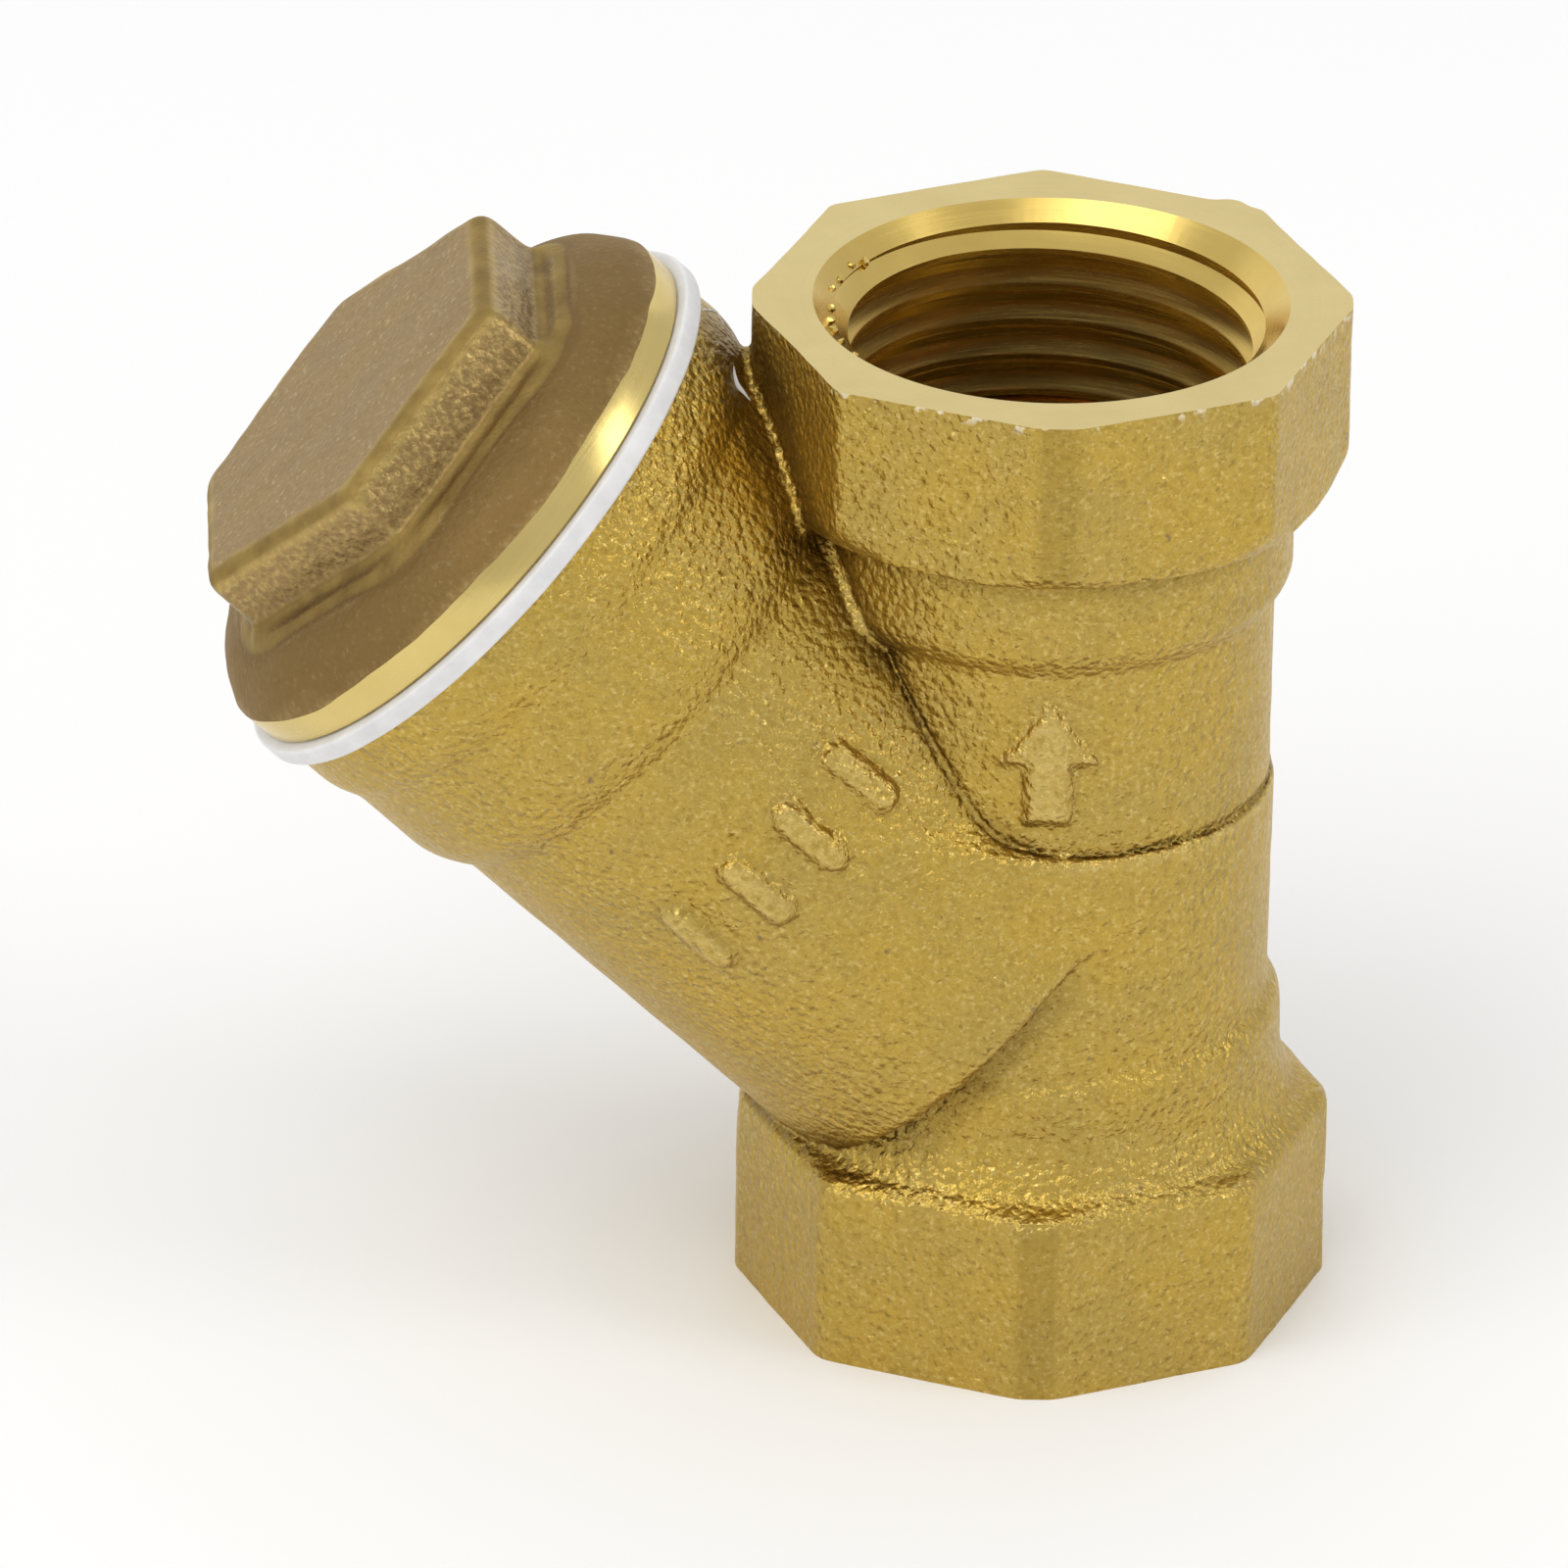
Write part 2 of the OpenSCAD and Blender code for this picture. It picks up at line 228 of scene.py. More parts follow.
def forging(points):
    """The whole outside of the body, before machining."""
    x, y, z = points.T
    r = np.hypot(x, y)
    s, up = along_branch(points)
    r_branch = np.hypot(up, y)
    run = run_field(x, y, z, r)
    branch = branch_field(s, r_branch)
    # The fillet between branch and belly widens upwards, so that only one line runs on from there.
    fuller = join(branch, belly_field(x, y, z), 0.2 + 2 * np.clip((z - 21) / 4, 0, 1))
    field = join(run, fuller, 0.2)
    # A groove follows the line where the tube meets the branch and the belly, up to the collar.
    crease = np.hypot(r - TUBE_R, fuller) - 0.02
    crease = np.maximum(crease, np.maximum(z - COLLAR_BOTTOM + 0.4, BELLY_TOP - 1.2 - z))
    field = meet(field, -crease, 0.3)
    # From the collar up, a rough ridge fills the line instead.
    valley = np.hypot(run, branch) - 0.2 - 0.09 * lumps(points, 2.4, 8)
    valley = meet(valley, COLLAR_BOTTOM + 0.3 - z, 0.6)
    field = join(field, valley, 0.45)
    field = join(field, blob(points, WEB_AT, (0.9, 0.8, 0.62), WEB_R), 0.5)
    field = join(field, blob(points, FLASH_AT, (0.7, 0.8, 0.5), FLASH_R), 0.4)
    arrow, bars = reliefs(points)
    arrow = meet(arrow, np.abs(r - TUBE_R) - ARROW_HEIGHT, 0.65)
    bars = meet(bars, np.abs(r_branch - BARREL_R) - BAR_HEIGHT, 0.65)
    field = join(join(field, arrow, 0.3), bars, 0.3)
    uneven = 0.045 * lumps(points, 9, 3) + 0.02 * lumps(points, 2.6, 4)
    field = field + uneven
    return np.maximum(field, np.maximum(z - RUN - EXTRA, np.maximum(-z - EXTRA, s - MOUTH - EXTRA)))


# ---- Meshes ----
def gradient(field, points):
    """Slope of a field at the points."""
    step = 0.02
    out = np.empty_like(points)
    for axis in range(3):
        offset = np.zeros(3)
        offset[axis] = step
        out[:, axis] = (field(points + offset) - field(points - offset)) / (2 * step)
    return out


def settle(field, points, rounds=4, reach=0.15):
    """Moves points onto the field's surface."""
    for _ in range(rounds):
        slope = gradient(field, points)
        step = field(points) / np.maximum((slope * slope).sum(1), 0.25)
        points = points - np.clip(step, -reach, reach)[:, None] * slope
    return points


def sampled(field, low, high, voxel):
    """The field on a grid of voxels, worked out only in the blocks that its surface passes through."""
    block = 8
    size = block * voxel
    counts = np.ceil((high - low) / size).astype(int)
    index = np.stack(np.meshgrid(*[np.arange(n) for n in counts], indexing="ij"), -1).reshape(-1, 3)
    middle = field(low + (index + 0.5) * size)
    grid = np.full(counts * block, 1.0, np.float32)
    local = np.stack(np.meshgrid(*[np.arange(block)] * 3, indexing="ij"), -1).reshape(-1, 3)
    for place, value in zip(index[middle < 0], middle[middle < 0]):
        a, b, c = place * block
        grid[a:a + block, b:b + block, c:c + block] = -1.0
    near = index[np.abs(middle) < size * 1.3]
    batch = 400
    for first in range(0, len(near), batch):
        some = near[first:first + batch]
        cells = (some[:, None, :] * block + local[None]).reshape(-1, 3)
        grid[cells[:, 0], cells[:, 1], cells[:, 2]] = field(low + (cells + 0.5) * voxel)
    return grid


def surface_mesh(name, field, low, high, voxel, keep):
    """Closed mesh of a field's surface, thinned to a share keep of its triangles."""
    low, high = np.array(low, float), np.array(high, float)
    grid = openvdb.FloatGrid()
    grid.copyFromArray(sampled(field, low, high, voxel))
    points, triangles, quads = grid.convertToPolygons(isovalue=0.0, adaptivity=0.0)
    points = settle(field, low + (points.astype(float) + 0.5) * voxel)
    faces = [tuple(f) for f in triangles] + [tuple(f) for f in quads]
    obj = mesh_object(name, points, faces)
    if keep < 1:
        thin = obj.modifiers.new("thin", "DECIMATE")
        thin.ratio = keep
        apply_modifiers(obj)
        place = vertex_points(obj)
        move_vertices(obj, settle(field, place, rounds=2, reach=0.03))
    return obj


def mesh_object(name, points, faces):
    """New object from points in millimetres and faces."""
    mesh = bpy.data.meshes.new(name)
    mesh.from_pydata((np.asarray(points) * MM).tolist(), [], faces)
    mesh.update()
    obj = bpy.data.objects.new(name, mesh)
    bpy.context.scene.collection.objects.link(obj)
    return obj


def vertex_points(obj):
    """An object's own vertices, in millimetres."""
    flat = np.empty(len(obj.data.vertices) * 3)
    obj.data.vertices.foreach_get("co", flat)
    return flat.reshape(-1, 3) / MM


def move_vertices(obj, points):
    """Puts an object's vertices at points in millimetres."""
    obj.data.vertices.foreach_set("co", (points * MM).ravel())
    obj.data.update()


def apply_modifiers(obj):
    """Makes what an object's modifiers give its own mesh."""
    graph = bpy.context.evaluated_depsgraph_get()
    mesh = bpy.data.meshes.new_from_object(obj.evaluated_get(graph))
    obj.modifiers.clear()
    obj.data = mesh


def combine(obj, tool, operation):
    """Boolean of obj with tool, which is then removed."""
    cut = obj.modifiers.new("cut", "BOOLEAN")
    cut.operation = operation
    cut.solver = "MANIFOLD"
    cut.object = tool
    cut.material_mode = "TRANSFER"
    apply_modifiers(obj)
    bpy.data.objects.remove(tool)
    return obj


def paint(obj, *materials):
    """Gives an object its materials; the first one goes on every face."""
    obj.data.materials.clear()
    for material in materials:
        obj.data.materials.append(material)
    return obj


def lathe(name, outline, segments=96, closed=False):
    """Solid turned about Z from [radius, height] points. An open outline starts and ends on the axis."""
    points, faces = [], []
    rows = []
    for radius, height in outline:
        if radius == 0:
            rows.append([len(points)] * segments)
            points.append((0, 0, height))
            continue
        rows.append(list(range(len(points), len(points) + segments)))
        for i in range(segments):
            angle = 2 * math.pi * i / segments
            points.append((radius * math.cos(angle), radius * math.sin(angle), height))
    pairs = list(zip(rows, rows[1:] + rows[:1])) if closed else list(zip(rows, rows[1:]))
    for a, b in pairs:
        for i in range(segments):
            j = (i + 1) % segments
            corners = [a[i], a[j], b[j], b[i]]
            face = [c for n, c in enumerate(corners) if c not in corners[:n]]
            if len(face) > 2:
                faces.append(face)
    return mesh_object(name, points, faces)


def screw(name, outline, pitch, turns, first, start_angle, segments):
    """Right-hand threaded rod about Z, from one pitch's [radius, offset] points. Its first turn starts at
    height first, at start_angle."""
    points, faces = [], []
    m = len(outline)
    rows = turns * m
    for i in range(segments):
        angle = 2 * math.pi * i / segments
        climb = first + pitch * i / segments
        for k in range(rows + 1):
            radius, offset = outline[k % m]
            height = climb + pitch * (k // m) + offset
            turned = angle + start_angle
            points.append((radius * math.cos(turned), radius * math.sin(turned), height))
    width = rows + 1
    for i in range(segments - 1):
        for k in range(rows):
            faces.append((i * width + k, (i + 1) * width + k, (i + 1) * width + k + 1, i * width + k + 1))
    last = (segments - 1) * width
    for k in range(rows - m):
        faces.append((last + k, k + m, k + m + 1, last + k + 1))
    bottom = [i * width for i in range(segments)] + list(range(m, 0, -1))
    top = [i * width + rows for i in range(segments)]
    top += [last + k for k in range(rows - 1, rows - m - 1, -1)]
    for loop, height in ((bottom, first), (top, first + pitch * (turns + 1))):
        centre = len(points)
        points.append((0, 0, height))
        for a, b in zip(loop, loop[1:] + loop[:1]):
            faces.append((b, a, centre) if loop is bottom else (a, b, centre))
    return mesh_object(name, points, faces)


def prism(name, outline, half_width):
    """Block with an outline of [x, z] points, reaching half_width to each side along Y."""
    n = len(outline)
    points = [(x, -half_width, z) for x, z in outline] + [(x, half_width, z) for x, z in outline]
    faces = [tuple(range(n)), tuple(range(2 * n - 1, n - 1, -1))]
    faces += [(i, i + n, (i + 1) % n + n, (i + 1) % n) for i in range(n)]
    return mesh_object(name, points, faces)


def place(obj, matrix):
    """Moves an object's own vertices by a matrix whose lengths are millimetres."""
    points = vertex_points(obj)
    matrix = np.array(matrix)
    move_vertices(obj, points @ matrix[:3, :3].T + matrix[:3, 3])
    return obj


def branch_matrix():
    """Places what is made in the branch's own frame, where angle 0 is towards the outlet."""
    side = np.cross(BRANCH_DIR, BRANCH_UP)
    matrix = np.eye(4)
    matrix[:3, 0], matrix[:3, 1], matrix[:3, 2], matrix[:3, 3] = BRANCH_UP, side, BRANCH_DIR, BRANCH_START
    return matrix


def upside_down(height):
    """Half turn about X that puts the bottom of a tool at the given height."""
    return [[1, 0, 0, 0], [0, -1, 0, 0], [0, 0, -1, height], [0, 0, 0, 1]]


# ---- Camera, light and floor ----
CAMERA_LENS = 444.52                 # for a sensor 36 wide, from about 0.9 m away
CAMERA_PLACE = (-30.4, -802.4, 431.7)
CAMERA_RIGHT = (0.99975, -0.01440, 0.01720)
CAMERA_FORWARD = (0.02061, 0.89175, -0.45205)
MIDDLE = (-0.005, 0, 0.025)          # of the part, in metres, which every light faces


def add_camera():
    """Camera at the photograph's viewing angle."""
    data = bpy.data.cameras.new("camera")
    data.sensor_width = 36
    data.lens = CAMERA_LENS
    data.clip_start, data.clip_end = 0.05, 20
    camera = bpy.data.objects.new("camera", data)
    bpy.context.scene.collection.objects.link(camera)
    right, forward = np.array(CAMERA_RIGHT), np.array(CAMERA_FORWARD)
    forward /= np.linalg.norm(forward)
    right -= right @ forward * forward
    right /= np.linalg.norm(right)
    up = np.cross(right, forward)
    matrix = np.eye(4)
    matrix[:3, 0], matrix[:3, 1], matrix[:3, 2] = right, up, -forward
    matrix[:3, 3] = np.array(CAMERA_PLACE) * MM
    camera.matrix_world = Matrix(matrix.tolist())
    bpy.context.scene.camera = camera
    bpy.context.scene.view_settings.view_transform = "Standard"


def add_area(name, location, size, power):
    """Soft white panel that faces the part. Lengths are metres."""
    data = bpy.data.lights.new(name, "AREA")
    data.shape = "RECTANGLE"
    data.size, data.size_y = size
    data.energy = power
    light = bpy.data.objects.new(name, data)
    light.location = location
    light.rotation_euler = (Vector(MIDDLE) - Vector(location)).to_track_quat("-Z", "Y").to_euler()
    bpy.context.scene.collection.objects.link(light)


def add_light():
    """Pale surroundings, with a bright panel behind the part and three softer ones in front."""
    world = bpy.data.worlds.new("studio")
    bpy.context.scene.world = world
    world.use_nodes = True
    back = world.node_tree.nodes["Background"]
    back.inputs["Color"].default_value = (1, 1, 1, 1)
    back.inputs["Strength"].default_value = 0.70
    add_area("back_panel", (-0.3, 1.7, 0.70), (3.4, 1.8), 6)
    add_area("front_left", (-0.48, -0.42, 0.74), (0.75, 0.7), 3.0)
    add_area("front_top", (-0.075, -0.40, 0.83), (0.40, 0.5), 0.6)
    add_area("right_top", (0.58, -0.20, 0.45), (0.26, 0.36), 0.85)


def add_floor():
    """Wide sheet of white paper."""
    reach = 6.0 / MM
    corners = [(-reach, -reach, 0), (reach, -reach, 0), (reach, reach, 0), (-reach, reach, 0)]
    floor = mesh_object("floor", corners, [(0, 1, 2, 3)])
    material = bpy.data.materials.new("floor_paper")
    material.use_nodes = True
    shader = material.node_tree.nodes["Principled BSDF"]
    shader.inputs["Base Color"].default_value = (0.95, 0.95, 0.95, 1)
    shader.inputs["Roughness"].default_value = 0.9
    paint(floor, material)


# ---- Pieces ----
def port_outline():
    """One pitch of the pipe thread's cutter: root flat, flank, tip flat, flank, with the crests broken."""
    flank, flat, broken = 0.56, 0.27, 0.09
    first = PORT_TIP_R + broken
    return [(PORT_TIP_R, 0), (PORT_TIP_R, flat), (first, flat + broken * 0.4), (PORT_ROOT_R, flat + flank),
            (PORT_ROOT_R, PORT_PITCH - flank), (first, PORT_PITCH - broken * 0.4)]


def port_tool(name, depth, start_angle):
    """Cutter for a threaded port that opens at z = 0 and runs up: tapped hole, countersink and water way."""
    tool = screw(name, port_outline(), PORT_PITCH, turns=9, first=-2.2 * PORT_PITCH,
                 start_angle=start_angle, segments=128)
    slab = lathe("slab", [(0, -1.5), (12, -1.5), (12, PORT_DEPTH - 0.4), (0, PORT_DEPTH - 0.4)], 128)
    combine(tool, slab, "INTERSECT")
    sink = lathe("sink", [(0, -1.6), (SINK_R + 1.6, -1.6), (PORT_TIP_R - 0.2, SINK_R - PORT_TIP_R + 0.2),
                          (0, SINK_R - PORT_TIP_R + 0.2)], 128)
    combine(tool, sink, "UNION")
    way = lathe("way", [(0, 0), (PORT_TIP_R - 0.1, 0), (PORT_TIP_R - 0.1, PORT_DEPTH - 0.2),
                        (WATER_R, PORT_DEPTH + 0.6), (WATER_R, depth), (0, depth)], 128)
    return combine(tool, way, "UNION")


def branch_tool():
    """Cutter for the branch: seat, chamber and the cap's thread, in the branch's own frame."""
    way_r, chamber_r, mouth_r = 7.2, 10.8, FEMALE_ROOT_R + 0.1
    way_start, seat_end, chamber_end, thread_start, thread_end = -4.5, 6.5, 25.8, 26.4, 34.4
    tool = lathe("chamber", [(0, way_start), (way_r, way_start), (way_r, SCREEN_BOTTOM),
                             (SCREEN_SEAT_R, SCREEN_BOTTOM), (SCREEN_SEAT_R, seat_end),
                             (chamber_r, seat_end), (chamber_r, chamber_end), (FEMALE_TIP_R, thread_start),
                             (FEMALE_TIP_R, thread_end), (mouth_r, MOUTH), (mouth_r, MOUTH + 1.5),
                             (0, MOUTH + 1.5)], 128)
    flank = (FEMALE_ROOT_R - FEMALE_TIP_R) * math.tan(math.radians(30))
    flat = (CAP_PITCH - 2 * flank) / 2
    outline = [(FEMALE_TIP_R - 0.05, 0), (FEMALE_TIP_R - 0.05, flat), (FEMALE_ROOT_R, flat + flank),
               (FEMALE_ROOT_R, 2 * flat + flank)]
    thread = screw("cap_thread_tool", outline, CAP_PITCH, turns=9,
                   first=THREAD_FIRST - (1.5 * flat + flank), start_angle=0.0, segments=128)
    slab = lathe("slab", [(0, thread_start), (13, thread_start), (13, MOUTH + 1), (0, MOUTH + 1)], 128)
    return combine(tool, combine(thread, slab, "INTERSECT"), "UNION")


def burrs():
    """Small torn crumbs of brass that the tap left on the outlet's countersink."""
    rng = np.random.default_rng(21)
    verts, faces = [], []
    for angle in (146, 152, 161, 167, 176, 186, 192, 199, 208):
        a, size = math.radians(angle + rng.uniform(-1.5, 1.5)), rng.uniform(0.16, 0.30)
        depth = rng.uniform(0.6, 0.95)
        middle = np.array([(SINK_R - depth) * math.cos(a), (SINK_R - depth) * math.sin(a), RUN - depth])
        base, rings, sides = len(verts), 5, 8
        for i in range(1, rings):
            for k in range(sides):
                polar, turn = math.pi * i / rings, 2 * math.pi * k / sides
                reach = size * rng.uniform(0.7, 1.2)
                verts.append(middle + reach * np.array([math.sin(polar) * math.cos(turn),
                                                        math.sin(polar) * math.sin(turn), math.cos(polar)]))
        verts += [middle + (0, 0, size), middle - (0, 0, size)]
        top, bottom = len(verts) - 2, len(verts) - 1
        for k in range(sides):
            m = (k + 1) % sides
            faces.append((top, base + k, base + m))
            faces.append((bottom, base + (rings - 2) * sides + m, base + (rings - 2) * sides + k))
            for i in range(rings - 2):
                faces.append((base + i * sides + k, base + (i + 1) * sides + k,
                              base + (i + 1) * sides + m, base + i * sides + m))
    return mesh_object("burrs", verts, faces)


def make_body(forged, faced, tapped, turned):
    """The body: its forging, with faced ends, two tapped ports and a bored branch."""
    low, high = (-35.5, -15.5, -1.8), (16, 15.5, 51.8)
    body = surface_mesh("body_forging", forging, low, high, voxel=0.2, keep=0.325)
    paint(body, forged)
    mouth_x = [(MOUTH - (z - BRANCH_START[2]) * BRANCH_DIR[2]) / BRANCH_DIR[0] for z in (0, RUN)]
    envelope = prism("envelope", [(20, 0), (20, RUN), (mouth_x[1], RUN), (mouth_x[0], 0)], 25)
    combine(body, paint(envelope, faced), "INTERSECT")
    inlet = paint(port_tool("inlet_tool", depth=14, start_angle=0.0), tapped)
    outlet = paint(port_tool("outlet_tool", depth=24, start_angle=OUTLET_START), tapped)
    place(outlet, upside_down(RUN))
    combine(body, inlet, "DIFFERENCE")
    combine(body, outlet, "DIFFERENCE")
    combine(body, paint(burrs(), tapped), "UNION")
    chamber = place(paint(branch_tool(), turned), branch_matrix())
    return combine(body, chamber, "DIFFERENCE")


def falling(r, z, r0, z0, slope):
    """Under the cone that is z0 high at radius r0 and falls outwards by slope."""
    return (z - z0 + (r - r0) * slope) / math.hypot(1, slope)


def cap_forging(points):
    """Forged outside of the cap, in the branch's own frame: domed flange, low pad and hexagon head."""
    x, y, z = points.T
    r = np.hypot(x, y)
    dome = meet(falling(r, z, 13.95, 38.5, 1.15), falling(r, z, 12.4, 40.0, 0.30), 0.8)
    flange = meet(cone(r, z, 14.35, 37.75, -0.3), meet(dome, z - DOME_TOP, 0.3), 0.9)
    head, pad = None, None
    for k in range(6):
        angle = math.radians(HEX_TURN + 30 + 60 * k)
        side = x * math.cos(angle) + y * math.sin(angle) - HEX_FLAT_R
        leaning = side - (HEX_TOP - z) * 0.035
        head = leaning if head is None else meet(head, leaning, 0.45)
        pad = side if pad is None else meet(pad, side, 2.8)
    head = meet(head, z - HEX_TOP, 1.0)
    pad = meet(pad - PAD_WIDTH, z - PAD_TOP, 0.6)
    above_rim = UNDERSIDE + 2 - z
    flange = join(flange, np.maximum(pad, above_rim), 0.45)
    field = join(flange, np.maximum(head, above_rim), 0.8)
    field = field + 0.05 * lumps(points, 8, 5) + 0.02 * lumps(points, 2.2, 6)
    return np.maximum(field, UNDERSIDE - 0.5 - z)


def cap_shank():
    """The cap's thread, with a turned neck under the flange."""
    flank = (CAP_TIP_R - CAP_ROOT_R) * math.tan(math.radians(30))
    tip = 0.12
    root = CAP_PITCH - 2 * flank - tip
    outline = [(CAP_ROOT_R, 0), (CAP_ROOT_R, root),
               (CAP_TIP_R, root + flank), (CAP_TIP_R, root + flank + tip)]
    thread = screw("shank", outline, CAP_PITCH, turns=9, first=THREAD_FIRST - (root + flank + tip / 2),
                   start_angle=0.0, segments=128)
    thread_end, neck_start, neck_r = 35.3, 35, CAP_ROOT_R - 0.05
    slab = lathe("slab", [(0, CAP_END), (CAP_ROOT_R, CAP_END), (CAP_TIP_R + 0.1, CAP_END + 1),
                          (CAP_TIP_R + 0.1, thread_end), (0, thread_end)], 128)
    combine(thread, slab, "INTERSECT")
    neck = lathe("neck", [(0, neck_start), (neck_r, neck_start), (neck_r, UNDERSIDE + 0.3),
                          (0, UNDERSIDE + 0.3)], 128)
    return combine(thread, neck, "UNION")


def make_cap(forged, machined):
    """The cap: its forging, with a machined rim and underside, the threaded shank, and the ring's cavity."""
    low, high = (-15.3, -15.3, UNDERSIDE - 1.2), (15.3, 15.3, HEX_TOP + 0.8)
    cap = surface_mesh("cap", cap_forging, low, high, voxel=0.17, keep=0.5)
    paint(cap, forged)
    envelope = lathe("envelope", [(0, UNDERSIDE), (RIM_MACHINED_R - 0.15, UNDERSIDE),
                                  (RIM_MACHINED_R, UNDERSIDE + 0.15), (RIM_MACHINED_R, HEX_TOP + 2),
                                  (0, HEX_TOP + 2)], 192)
    combine(cap, paint(envelope, machined), "INTERSECT")
    combine(cap, paint(cap_shank(), machined), "UNION")
    start, ceiling, dome_r, dome_top = CAP_END - 1, SCREEN_TOP + 0.1, 7, 41.4
    hollow = lathe("hollow", [(0, start), (SCREEN_SEAT_R, start), (SCREEN_SEAT_R, ceiling), (dome_r, ceiling),
                              (dome_r, dome_top - 0.8), (dome_r - 0.8, dome_top), (0, dome_top)], 96)
    return combine(cap, paint(hollow, machined), "DIFFERENCE")


def ring_outline(inner, outer, low, high, corner):
    """Rounded rectangle of [radius, height] points for a closed ring."""
    steps = 4
    outline = []
    for cx, cz, start in ((outer - corner, low + corner, -90), (outer - corner, high - corner, 0),
                          (inner + corner, high - corner, 90), (inner + corner, low + corner, 180)):
        for i in range(steps + 1):
            angle = math.radians(start + 90 * i / steps)
            outline.append((cx + corner * math.cos(angle), cz + corner * math.sin(angle)))
    return outline


def make_gasket(plastic):
    """Moulded sealing ring, with a slightly uneven rim."""
    gasket = lathe("gasket", ring_outline(12.1, GASKET_R - 0.03, MOUTH, UNDERSIDE, 0.16), 240, closed=True)
    points = vertex_points(gasket)
    r = np.hypot(points[:, 0], points[:, 1])
    rim = np.clip((r - 14.2) / 0.4, 0, 1)
    swell = 1 + rim * (0.025 * lumps(points, 5, 11) - 0.02) / r
    points[:, :2] *= swell[:, None]
    move_vertices(gasket, points)
    return paint(gasket, plastic)


def tube_strip(points, widths, thickness):
    """Closed tapered ribbon along points, with an oval section of the given widths."""
    sides = 8
    points = np.asarray(points, float)
    along = np.gradient(points, axis=0)
    along /= np.linalg.norm(along, axis=1)[:, None]
    across = np.cross(along, (0.2, 1.0, 0.1))
    across /= np.linalg.norm(across, axis=1)[:, None]
    out = np.cross(along, across)
    verts, faces = [], []
    for p, a, o, w in zip(points, across, out, widths):
        for i in range(sides):
            angle = 2 * math.pi * i / sides
            verts.append(p + a * (w / 2 * math.cos(angle)) + o * (min(thickness, w) / 2 * math.sin(angle)))
    n = len(points)
    for k in range(n - 1):
        for i in range(sides):
            j = (i + 1) % sides
            faces.append((k * sides + i, k * sides + j, (k + 1) * sides + j, (k + 1) * sides + i))
    faces.append(tuple(range(sides - 1, -1, -1)))
    faces.append(tuple(range((n - 1) * sides, n * sides)))
    return verts, faces


def smooth_path(corners, steps):
    """Points along a Catmull-Rom curve through the corners."""
    p = np.array(corners, float)
    p = np.vstack([2 * p[0] - p[1], p, 2 * p[-1] - p[-2]])
    out = []
    for i in range(1, len(p) - 2):
        for t in np.linspace(0, 1, steps, endpoint=False):
            out.append(0.5 * (2 * p[i] + (p[i + 1] - p[i - 1]) * t
                              + (2 * p[i - 1] - 5 * p[i] + 4 * p[i + 1] - p[i + 2]) * t * t
                              + (3 * p[i] - p[i - 1] - 3 * p[i + 1] + p[i + 2]) * t ** 3))
    out.append(p[-2])
    return np.array(out)


def make_strand(plastic):
    """Torn strand of the gasket's edge, which hangs in the notch between the branch and the outlet."""
    route = smooth_path([(-16.6, -0.2, 49.1), (-16.0, 1.6, 48.5), (-15.4, 2.9, 47.7), (-15.0, 1.8, 47.5),
                         (-14.8, 0.1, 47.4), (-14.65, -1.5, 47.2), (-14.5, -2.6, 46.9), (-14.1, -2.9, 46.5),
                         (-13.8, -3.1, 46.2)], 8)
    t = np.linspace(0, 1, len(route))
    taper = np.clip(np.minimum(t * 12 + 0.5, (1 - t) * 3.2 + 0.12), 0, 1)
    widths = 0.34 * taper * (1 + 0.15 * np.sin(t * 19))
    verts, faces = tube_strip(route, widths, thickness=0.2)
    return paint(mesh_object("gasket_strand", verts, faces), plastic)


def wires(paths, radius, sides, closed):
    """Round wires along many paths of the same length, as one mesh."""
    verts, faces = [], []
    for path in paths:
        n = len(path)
        ahead = np.roll(path, -1, 0) - np.roll(path, 1, 0) if closed else np.gradient(path, axis=0)
        ahead /= np.linalg.norm(ahead, axis=1)[:, None]
        outward = path * (1, 1, 0)
        outward /= np.linalg.norm(outward, axis=1)[:, None]
        side = np.cross(ahead, outward)
        side /= np.linalg.norm(side, axis=1)[:, None]
        outward = np.cross(side, ahead)
        base = len(verts)
        for i in range(n):
            for k in range(sides):
                angle = 2 * math.pi * k / sides
                verts.append(path[i] + radius * (math.cos(angle) * outward[i] + math.sin(angle) * side[i]))
        for i in range(n if closed else n - 1):
            here, there = base + i * sides, base + (i + 1) % n * sides
            for k in range(sides):
                m = (k + 1) % sides
                faces.append((here + m, there + m, there + k, here + k))
        if not closed:
            faces.append(tuple(base + k for k in range(sides - 1, -1, -1)))
            faces.append(tuple(base + (n - 1) * sides + k for k in range(sides)))
    return verts, faces


